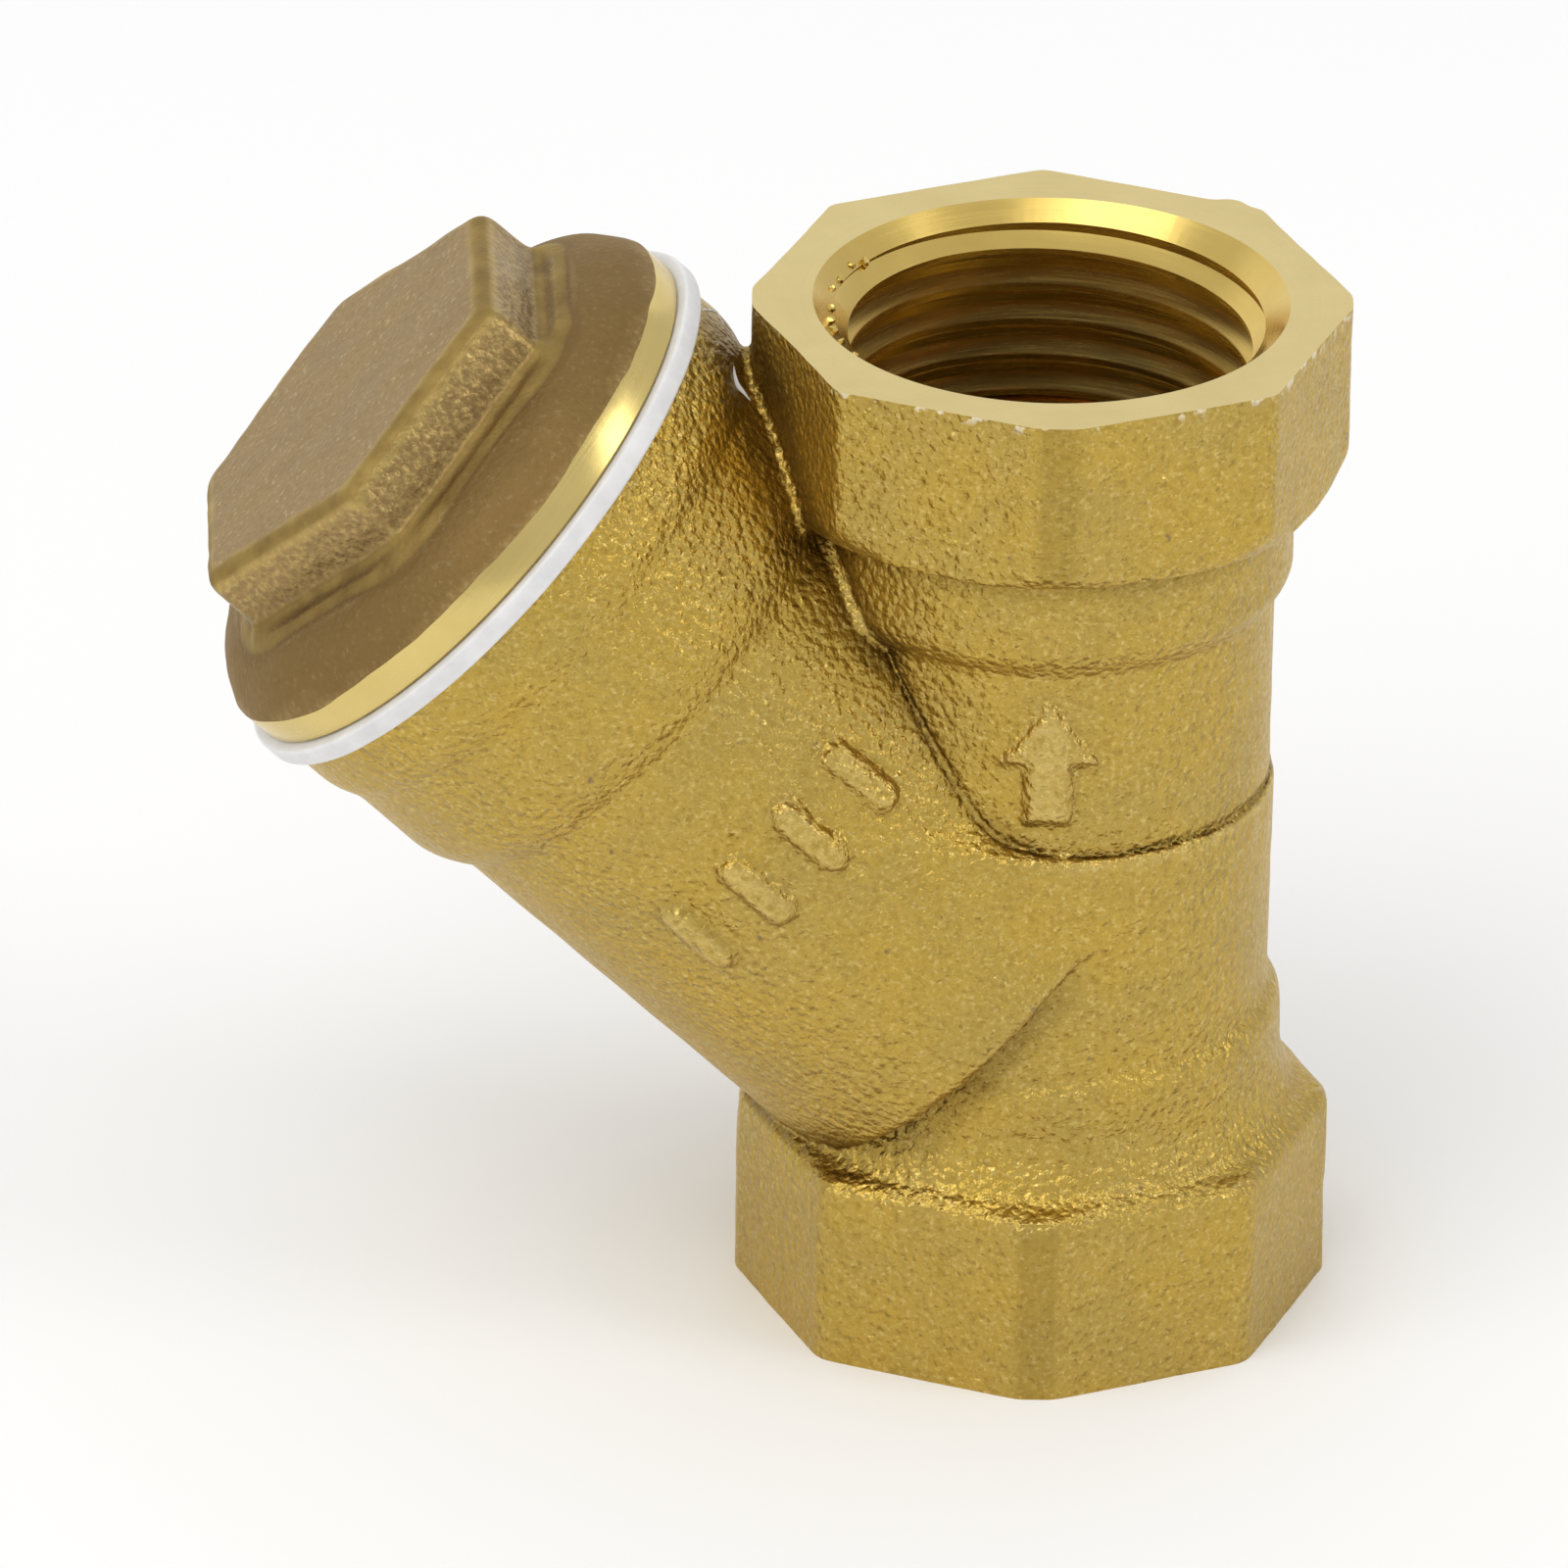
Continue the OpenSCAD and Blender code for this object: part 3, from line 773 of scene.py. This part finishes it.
def make_sleeve(steel):
    """Plain-weave wire sleeve: upright wires that pass over and under the hoops."""
    upright, wire, swing = 48, 0.12, 0.115
    middle = SLEEVE_R - wire - swing - 0.01
    low, high = SLEEVE_BOTTOM + wire + 0.02, SLEEVE_TOP - wire - 0.02
    hoops = round(high - low)
    gap = (high - low) / hoops
    verts, faces = [], []

    def add(made):
        """Adds wires to the mesh."""
        base = len(verts)
        verts.extend(made[0])
        faces.extend(tuple(base + i for i in face) for face in made[1])

    paths = []
    for j in range(upright):
        angle = 2 * math.pi * j / upright
        s = np.linspace(low, high, hoops * 4 + 1)
        r = middle + swing * np.cos(math.pi * ((s - low) / gap + j))
        paths.append(np.stack([r * math.cos(angle), r * math.sin(angle), s], 1))
    add(wires(paths, wire, 5, False))
    paths = []
    for i in range(hoops + 1):
        angle = np.linspace(0, 2 * math.pi, upright * 4, endpoint=False)
        r = middle - swing * np.cos(math.pi * i) * np.cos(angle * upright / 2)
        paths.append(np.stack([r * np.cos(angle), r * np.sin(angle), np.full_like(r, low + gap * i)], 1))
    add(wires(paths, wire, 5, True))
    return paint(mesh_object("screen_sleeve_wires", verts, faces), steel)


def make_end_ring(name, steel, up):
    """Crimped end ring: thin drawn sheet with a turned-in lip and a row of crimp dents round its skirt."""
    wall, lip, height = 0.28, 0.5, 2.36
    outer, inner = RING_R, RING_R - wall
    dent_at, dent_reach = 1.4, 0.4
    levels = [dent_at - dent_reach, dent_at, dent_at + dent_reach]
    outline = [(inner - lip, 0.04), (inner - lip + 0.08, 0), (outer - 0.3, 0), (outer - 0.09, 0.09),
               (outer, 0.3), *[(outer, level) for level in levels],
               (outer, height - 0.06), (outer - 0.08, height), (inner + 0.06, height), (inner, height - 0.06),
               *[(inner, level) for level in reversed(levels)],
               (inner, 0.4), (inner - 0.06, wall), (inner - lip + 0.08, wall), (inner - lip, wall - 0.04)]
    ring = lathe(name, outline, 192, closed=True)
    points = vertex_points(ring)
    angle = np.arctan2(points[:, 1], points[:, 0])
    dent = np.clip(np.cos(angle * 16) * 3 - 2, 0, 1) * np.exp(-((points[:, 2] - dent_at) / 0.35) ** 2)
    r = np.hypot(points[:, 0], points[:, 1])
    points[:, :2] *= ((r - 0.045 * dent) / r)[:, None]
    if up:
        points[:, 2] += SCREEN_BOTTOM
        move_vertices(ring, points)
    else:
        points[:, 2] = SCREEN_TOP - points[:, 2]
        move_vertices(ring, points)
        ring.data.flip_normals()
    return paint(ring, steel)


# ---- Surface masks and normals ----
def store(obj, name, value):
    """Keeps one number from 0 to 1 for each vertex, for the materials to read."""
    layer = obj.data.attributes.new(name, "FLOAT", "POINT")
    layer.data.foreach_set("value", np.clip(value, 0, 1).astype(np.float32))


def store_masks(obj, field, normals):
    """How hollow and how edgy each point is, seen from a little way outside and inside the surface."""
    points = vertex_points(obj)
    # crease and hollow feed painted shade in the materials; edge feeds rubbing wear and painted highlight.
    for name, reach in (("crease", 0.36), ("hollow", 2.2)):
        store(obj, name, 1 - field(points + normals * reach) / reach)
    reach = 0.45
    store(obj, "edge", (field(points - normals * reach) + reach) / reach)
    store(obj, "flank", np.hypot(normals[:, 0], normals[:, 1]))


def finish_forging(obj, field):
    """Stores a forging's masks, and gives the faces of its first material the field's own normals."""
    obj.data.set_sharp_from_angle(angle=math.radians(35))
    slope = gradient(field, vertex_points(obj))
    normals = slope / np.maximum(np.linalg.norm(slope, axis=1), 1e-6)[:, None]
    store_masks(obj, field, normals)
    mesh = obj.data
    corner_vertex = np.empty(len(mesh.loops), np.int32)
    mesh.loops.foreach_get("vertex_index", corner_vertex)
    corner = np.empty(len(mesh.loops) * 3, np.float32)
    mesh.corner_normals.foreach_get("vector", corner)
    corner = corner.reshape(-1, 3)
    count = np.empty(len(mesh.polygons), np.int32)
    mesh.polygons.foreach_get("loop_total", count)
    slot = np.empty(len(mesh.polygons), np.int32)
    mesh.polygons.foreach_get("material_index", slot)
    forged = np.repeat(slot, count) == 0
    corner[forged] = normals[corner_vertex[forged]]
    mesh.normals_split_custom_set(corner.tolist())


def smooth(obj):
    """Smooth shading, with sharp edges kept."""
    obj.data.shade_smooth()
    obj.data.set_sharp_from_angle(angle=math.radians(40))
    return obj


# ---- Materials ----
class Graph:
    """Short way to build a material's nodes. Sizes of patterns are millimetres."""

    def __init__(self, name):
        self.material = bpy.data.materials.new(name)
        self.material.use_nodes = True
        self.tree = self.material.node_tree
        self.shader = self.tree.nodes["Principled BSDF"]
        self.place = self.node("ShaderNodeTexCoord").outputs["Object"]

    def node(self, kind, **settings):
        """New node with its settings."""
        made = self.tree.nodes.new(kind)
        for key, value in settings.items():
            setattr(made, key, value)
        return made

    def link(self, source, target):
        """Joins an output to an input."""
        self.tree.links.new(source, target)

    def put(self, value, socket):
        """Links a socket's source, or sets its value."""
        if isinstance(value, bpy.types.NodeSocket):
            self.link(value, socket)
        else:
            socket.default_value = value

    def math(self, operation, a, b=0.0):
        """One sum on two numbers or sockets."""
        made = self.node("ShaderNodeMath", operation=operation)
        for value, socket in zip((a, b), made.inputs):
            self.put(value, socket)
        return made.outputs[0]

    def mix(self, share, a, b):
        """Colour a with a share of colour b over it."""
        made = self.node("ShaderNodeMix", data_type="RGBA")
        self.put(share, made.inputs[0])
        for value, socket in ((a, made.inputs[6]), (b, made.inputs[7])):
            self.put((*value, 1) if isinstance(value, tuple) else value, socket)
        return made.outputs[2]

    def ramp(self, value, low, high, start=0.0, end=1.0):
        """Goes from start to end while value goes from low to high."""
        made = self.node("ShaderNodeMapRange", clamp=True)
        for item, socket in zip((value, low, high, start, end), made.inputs):
            self.put(item, socket)
        return made.outputs[0]

    def noise(self, size_mm, detail=2.0, rough=0.5, vector=None):
        """Cloudy pattern from 0 to 1."""
        made = self.node("ShaderNodeTexNoise")
        self.link(vector or self.place, made.inputs["Vector"])
        made.inputs["Scale"].default_value = 1 / (size_mm * MM)
        made.inputs["Detail"].default_value = detail
        made.inputs["Roughness"].default_value = rough
        return made.outputs["Fac"]

    def cells(self, size_mm):
        """Distance from the middle of the nearest of scattered cells."""
        made = self.node("ShaderNodeTexVoronoi")
        self.link(self.place, made.inputs["Vector"])
        made.inputs["Scale"].default_value = 1 / (size_mm * MM)
        return made.outputs["Distance"]

    def mask(self, name):
        """One of the values that store() keeps on the mesh."""
        return self.node("ShaderNodeAttribute", attribute_name=name).outputs["Fac"]

    def split(self, vector):
        """X, Y and Z of a vector."""
        made = self.node("ShaderNodeSeparateXYZ")
        self.link(vector, made.inputs[0])
        return made.outputs

    def bump(self, height, depth_mm):
        """Surface normal of a pattern that stands depth_mm high."""
        made = self.node("ShaderNodeBump")
        made.inputs["Strength"].default_value = 1
        made.inputs["Distance"].default_value = depth_mm * MM
        self.link(height, made.inputs["Height"])
        return made.outputs["Normal"]

    def finish(self, colour, rough, normal, metal=1.0):
        """The material, with its colour, roughness and surface normal."""
        self.link(colour, self.shader.inputs["Base Color"])
        self.link(rough, self.shader.inputs["Roughness"])
        self.link(normal, self.shader.inputs["Normal"])
        self.shader.inputs["Metallic"].default_value = metal
        return self.material


def forged_brass():
    """Sandblasted brass: grain with painted sparkle flecks, patches of tone, painted shade in pits, creases
    and hollows, edges lighter from wear and painted highlight, and nicks with painted glints.
    """
    g = Graph("forged_brass")
    grain = g.noise(0.42, 2.0, 0.55)
    facets = g.cells(0.42)
    flecks = g.noise(0.24, 2.0, 0.55)
    patches = g.noise(4.5, 3, 0.6)
    specks = g.noise(0.9, 2, 0.7)
    yellow, olive, pit_shade = (0.53, 0.36, 0.070), (0.48, 0.336, 0.082), (0.31, 0.19, 0.03)
    painted_sparkle, speck, wear_highlight_tone = (0.84, 0.66, 0.27), (0.20, 0.14, 0.09), (0.72, 0.55, 0.21)
    nick_glint_tone = (0.78, 0.68, 0.47)
    brown, dark_reflection_tone = (0.10, 0.047, 0.011), (0.22, 0.135, 0.022)
    height = g.math("ADD", grain, g.math("MULTIPLY", facets, -0.6))
    colour = g.mix(g.ramp(patches, 0.35, 0.65), yellow, olive)
    # Darker where the grain's bump is low: painted shade in its pits.
    colour = g.mix(g.ramp(grain, 0.28, 0.5, 0.4, 0.0), colour, pit_shade)
    # Pale flecks: painted sparkle.
    colour = g.mix(g.ramp(flecks, 0.54, 0.74, 0.0, 0.42), colour, painted_sparkle)
    colour = g.mix(g.ramp(specks, 0.70, 0.78, 0.0, 0.7), colour, speck)
    hollow = g.mask("hollow")
    # Lighter along edges and on the raised arrow and bars: rubbing wear and painted highlight.
    wear_and_highlight = g.math("MULTIPLY", g.ramp(g.mask("edge"), 0.2, 0.6), g.ramp(g.noise(1.1, 2), 0.35, 0.6, 0.2, 0.7))
    wear_and_highlight = g.math("MULTIPLY", wear_and_highlight, g.ramp(hollow, 0.15, 0.45, 1, 0))
    wear_and_highlight = g.math("MAXIMUM", wear_and_highlight, g.math("MULTIPLY", g.mask("relief"), g.ramp(grain, 0.4, 0.6, 0.1, 0.42)))
    colour = g.mix(wear_and_highlight, colour, wear_highlight_tone)
    # Dark brown in creases and hollows: painted shade.
    crease = g.ramp(g.mask("crease"), 0.12, 0.9, 0.0, 0.55)
    shade = g.math("MAXIMUM", crease, g.ramp(hollow, 0.22, 0.85, 0.0, 0.72))
    colour = g.mix(g.math("MULTIPLY", shade, 0.78), colour, brown)
    # A faint darker strip down the middle of each octagon, along the line where the dies met: painted dark
    # reflection.
    x, _, z = g.split(g.place)
    on_octagon = g.math("MAXIMUM", g.ramp(z, 41.3 * MM, 42.3 * MM), g.ramp(z, 8.6 * MM, 9.2 * MM, 1, 0))
    dark_reflection_strip = g.math("MULTIPLY", g.ramp(g.math("ABSOLUTE", x), 0.7 * MM, 1.1 * MM, 0.26, 0), on_octagon)
    colour = g.mix(dark_reflection_strip, colour, dark_reflection_tone)
    # Pale nicks along the edge of the outlet's end: real nicks with painted glints.
    from_face = g.math("SUBTRACT", RUN * MM, z)
    by_face = g.ramp(from_face, 0.1 * MM, 0.5 * MM, 1, 0)
    nick_glint = g.math("MULTIPLY", by_face, g.ramp(g.noise(0.9, 2, 0.6), 0.54, 0.60))
    colour = g.mix(nick_glint, colour, nick_glint_tone)
    rough = g.ramp(flecks, 0.35, 0.7, 0.45, 0.30)
    return g.finish(colour, rough, g.bump(height, 0.19))


def turned_vector(g, tilt):
    """Place round the run's axis, or the branch's where tilt is set, drawn out along the angle for turning
    marks: radius, shortened angle and height."""
    source = g.place
    if tilt:
        mapping = g.node("ShaderNodeMapping", vector_type="POINT")
        turn = math.atan2(-BRANCH_DIR[0], BRANCH_DIR[2])
        mapping.inputs["Rotation"].default_value = (0, turn, 0)
        shift = Matrix.Rotation(turn, 3, "Y")
        start = shift @ Vector(BRANCH_START * MM)
        mapping.inputs["Location"].default_value = -start
        g.link(g.place, mapping.inputs["Vector"])
        source = mapping.outputs["Vector"]
    x, y, z = g.split(source)
    radius = g.math("SQRT", g.math("ADD", g.math("MULTIPLY", x, x), g.math("MULTIPLY", y, y)))
    angle = g.math("ARCTAN2", y, x)
    joined = g.node("ShaderNodeCombineXYZ")
    g.link(radius, joined.inputs[0])
    g.link(g.math("MULTIPLY", angle, 0.2 * MM), joined.inputs[1])
    g.link(z, joined.inputs[2])
    return joined.outputs[0]


def machined_brass(name, tilt, tone, worn_tone, depth=0.002):
    """Turned brass: fine tool marks round the axis, and a faint film of tarnish."""
    g = Graph(name)
    marks = g.noise(0.13, 2, 0.6, turned_vector(g, tilt))
    film = g.noise(3.5, 3, 0.6)
    colour = g.mix(g.ramp(film, 0.3, 0.7), tone, worn_tone)
    rough = g.ramp(marks, 0.3, 0.7, 0.20, 0.29)
    return g.finish(colour, rough, g.bump(marks, depth))


def cap_brass():
    """Forged brass as it left the furnace: a dull brown skin, wearing to yellow brass with painted highlight
    along the edges; painted shade on the flange, the hexagon's flanks, pits, creases and hollows; and painted
    sparkle.
    """
    g = Graph("cap_brass")
    grain = g.noise(0.30, 2.5, 0.6)
    coarse = g.cells(0.42)
    patches = g.noise(3.2, 4, 0.65)
    flecks = g.noise(0.30, 1.5, 0.6)
    skin, dark_skin = (0.40, 0.275, 0.118), (0.345, 0.235, 0.10)
    pit_shade, painted_sparkle = (0.24, 0.155, 0.06), (0.60, 0.50, 0.30)
    flange_shade, flank_shade, bright = (0.22, 0.135, 0.04), (0.22, 0.14, 0.05), (0.58, 0.41, 0.14)
    wear_highlight_tone, brown = (0.62, 0.455, 0.145), (0.10, 0.055, 0.015)
    lean = g.mask("flank")
    flank = g.ramp(lean, 0.86, 0.97)
    flange = g.math("MULTIPLY", g.ramp(lean, 0.12, 0.35), g.ramp(lean, 0.86, 0.97, 1, 0))
    colour = g.mix(g.ramp(patches, 0.35, 0.65), skin, dark_skin)
    # Darker where the grain's bump is low: painted shade in its pits.
    colour = g.mix(g.ramp(grain, 0.30, 0.5, 0.4, 0.0), colour, pit_shade)
    # Pale flecks: painted sparkle.
    colour = g.mix(g.ramp(flecks, 0.60, 0.74, 0.0, 0.6), colour, painted_sparkle)
    # Darker flange and hexagon flanks, by the way they face: painted shade.
    colour = g.mix(g.math("MULTIPLY", flange, 0.66), colour, flange_shade)
    colour = g.mix(g.math("MULTIPLY", flank, 0.35), colour, flank_shade)
    # Pale flecks on the hexagon's flanks: painted sparkle.
    flank_sparkle = g.math("MULTIPLY", flank, g.ramp(flecks, 0.45, 0.65, 0.05, 0.5))
    colour = g.mix(flank_sparkle, colour, bright)
    # Lighter along edges: rubbing wear and painted highlight.
    wear_and_highlight = g.math("MULTIPLY", g.ramp(g.mask("edge"), 0.08, 0.38), g.ramp(g.noise(1.3, 3), 0.3, 0.6, 0.4, 1))
    colour = g.mix(wear_and_highlight, colour, wear_highlight_tone)
    # Dark brown in creases and hollows: painted shade.
    shade = g.math("MAXIMUM", g.ramp(g.mask("crease"), 0.05, 0.5), g.ramp(g.mask("hollow"), 0.2, 0.8))
    colour = g.mix(g.math("MULTIPLY", shade, 0.7), colour, brown)
    rough = g.math("SUBTRACT", g.ramp(patches, 0.3, 0.7, 0.58, 0.50), g.math("MULTIPLY", flank, 0.14))
    rough = g.math("ADD", rough, g.math("MULTIPLY", flange, 0.15))
    height = g.math("ADD", grain, g.math("MULTIPLY", g.math("MULTIPLY", coarse, flank), -0.7))
    return g.finish(colour, rough, g.bump(height, 0.06))


def gasket_plastic():
    """Milky plastic that lets a little light through."""
    g = Graph("gasket_plastic")
    cloud = g.noise(1.6, 3, 0.6)
    colour = g.mix(g.ramp(cloud, 0.3, 0.7), (0.66, 0.655, 0.66), (0.76, 0.755, 0.75))
    g.shader.inputs["Subsurface Weight"].default_value = 0.5
    g.shader.inputs["Subsurface Radius"].default_value = (0.6 * MM, 0.6 * MM, 0.6 * MM)
    g.shader.inputs["Subsurface Scale"].default_value = 1.0
    return g.finish(colour, g.ramp(cloud, 0.3, 0.7, 0.36, 0.48), g.bump(g.noise(0.5, 2), 0.015), metal=0.0)


def steel(name, size_mm, rough_low, rough_high):
    """Stainless steel with fine marks and faint tarnish."""
    g = Graph(name)
    marks = g.noise(size_mm, 3, 0.65)
    film = g.noise(2.4, 3, 0.6)
    colour = g.mix(g.ramp(film, 0.3, 0.7), (0.62, 0.61, 0.60), (0.50, 0.49, 0.47))
    return g.finish(colour, g.ramp(marks, 0.3, 0.7, rough_low, rough_high), g.bump(marks, 0.012))


# ---- Assembly ----
def settle_piece(obj, body, node):
    """Makes a piece ride on its CAD body, in the place of a CAD node where there is one."""
    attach(obj, body)
    if node:
        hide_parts(node)


add_camera()
add_light()
add_floor()

forged = forged_brass()
faced = machined_brass("faced_brass", False, (0.68, 0.545, 0.235), (0.63, 0.50, 0.205))
tapped = machined_brass("tapped_brass", False, (0.73, 0.53, 0.155), (0.67, 0.475, 0.13), 0.0007)
turned = machined_brass("turned_brass", True, (0.72, 0.56, 0.21), (0.66, 0.51, 0.18))
plastic = gasket_plastic()
wire_steel = steel("wire_steel", 0.2, 0.25, 0.4)
ring_steel = steel("ring_steel", 0.3, 0.25, 0.42)

body = make_body(forged, faced, tapped, turned)
finish_forging(body, forging)
# Mask of the raised arrow and bars, for rubbing wear and painted highlight on their tops.
arrow, bars = reliefs(vertex_points(body))
store(body, "relief", -np.minimum(arrow, bars) / 0.3)
settle_piece(body, "housing", "body")

cap = make_cap(cap_brass(), turned)
finish_forging(cap, cap_forging)
place(cap, branch_matrix())
settle_piece(cap, "plug", "cap")

gasket = smooth(place(make_gasket(plastic), branch_matrix()))
settle_piece(gasket, "seal", "gasket")
strand = smooth(make_strand(plastic))
settle_piece(strand, "seal", None)

sleeve = smooth(place(make_sleeve(wire_steel), branch_matrix()))
settle_piece(sleeve, "strainer", "screen_sleeve")
for name, up in (("screen_lower_ring", True), ("screen_upper_ring", False)):
    ring = smooth(place(make_end_ring(name + "_sheet", ring_steel, up), branch_matrix()))
    settle_piece(ring, "strainer", name)
